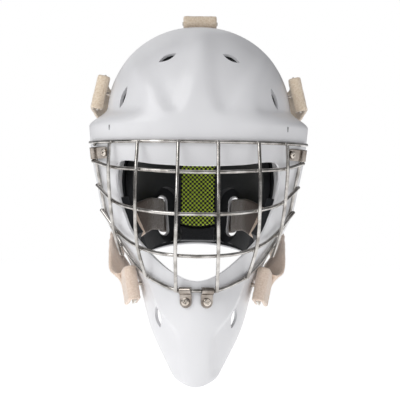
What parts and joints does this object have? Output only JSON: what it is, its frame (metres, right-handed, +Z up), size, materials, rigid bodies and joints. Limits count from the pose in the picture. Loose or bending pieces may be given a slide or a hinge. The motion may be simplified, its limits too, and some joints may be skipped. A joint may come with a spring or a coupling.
{
  "type": "ice hockey goalie mask",
  "caption": "White composite ice hockey goalie mask with a polished wire cage, padded back plate and tan elastic straps.",
  "frame": {"origin": "the middle of the space for the head, on the left-right middle plane", "axes": "+Z up, the face looks along -Y, +X is the viewer's right"},
  "size_m": [0.2284, 0.2993, 0.3792],
  "materials": {
    "painted_shell": "gloss white paint and clear coat over fibre composite",
    "painted_backplate": "satin white moulded plate",
    "cage_steel": "polished stainless wire",
    "clip_steel": "pressed stainless strip",
    "fastener_steel": "machined stainless",
    "lime_mesh": "lime and black mesh-faced foam",
    "black_foam": "matt closed-cell foam with fabric face",
    "tan_elastic": "brushed plush elastic webbing",
    "keeper_nylon": "moulded nylon"
  },
  "bodies": {
    "shell": {"cage_eye_bar": "cage_steel", "cage_mouth_bar": "cage_steel", "cage_nose_bar": "cage_steel", "cage_rim_wire": "cage_steel", "cage_top_bar": "cage_steel", "cage_upright_inner_left": "cage_steel", "cage_upright_inner_right": "cage_steel", "cage_upright_middle_left": "cage_steel", "cage_upright_middle_right": "cage_steel", "cage_upright_outer_left": "cage_steel", "cage_upright_outer_right": "cage_steel", "chin_clip_left": "clip_steel", "chin_clip_right": "clip_steel", "chin_pad": "black_foam", "chin_screw_left": "fastener_steel", "chin_screw_nut_left": "fastener_steel", "chin_screw_nut_right": "fastener_steel", "chin_screw_right": "fastener_steel", "crown_pad": "black_foam", "forehead_pad": "black_foam", "jaw_pad_left": "black_foam", "jaw_pad_right": "black_foam", "lower_left_elastic_strap": "tan_elastic", "lower_left_keeper_rivet": "fastener_steel", "lower_left_strap_keeper": "keeper_nylon", "lower_right_elastic_strap": "tan_elastic", "lower_right_keeper_rivet": "fastener_steel", "lower_right_strap_keeper": "keeper_nylon", "mask_shell": "painted_shell", "sweatband": "black_foam", "temple_clip_left": "clip_steel", "temple_clip_right": "clip_steel", "temple_pad_left": "black_foam", "temple_pad_right": "black_foam", "temple_screw_left": "fastener_steel", "temple_screw_nut_left": "fastener_steel", "temple_screw_nut_right": "fastener_steel", "temple_screw_right": "fastener_steel", "top_elastic_strap": "tan_elastic", "top_keeper_rivet": "fastener_steel", "top_strap_keeper": "keeper_nylon", "upper_left_elastic_strap": "tan_elastic", "upper_left_keeper_rivet": "fastener_steel", "upper_left_strap_keeper": "keeper_nylon", "upper_right_elastic_strap": "tan_elastic", "upper_right_keeper_rivet": "fastener_steel", "upper_right_strap_keeper": "keeper_nylon"},
    "backplate": {"backplate_center_pad": "lime_mesh", "backplate_nape_pad": "black_foam", "backplate_shell": "painted_backplate", "backplate_side_pad_left": "black_foam", "backplate_side_pad_right": "black_foam", "lower_left_plate_rivet": "fastener_steel", "lower_right_plate_rivet": "fastener_steel", "top_plate_rivet": "fastener_steel", "upper_left_plate_rivet": "fastener_steel", "upper_right_plate_rivet": "fastener_steel"}
  },
  "joints": [
    {"name": "backplate_tilt", "type": "hinge", "parent": "shell", "child": "backplate", "pos_m": [0, 0.06, 0.162], "axis": [1, 0, 0], "range_deg": [0, 35], "stiffness_Nm_per_rad": 0.8, "deforming": ["lower_left_elastic_strap", "lower_right_elastic_strap", "top_elastic_strap", "upper_left_elastic_strap", "upper_right_elastic_strap"]}
  ]
}
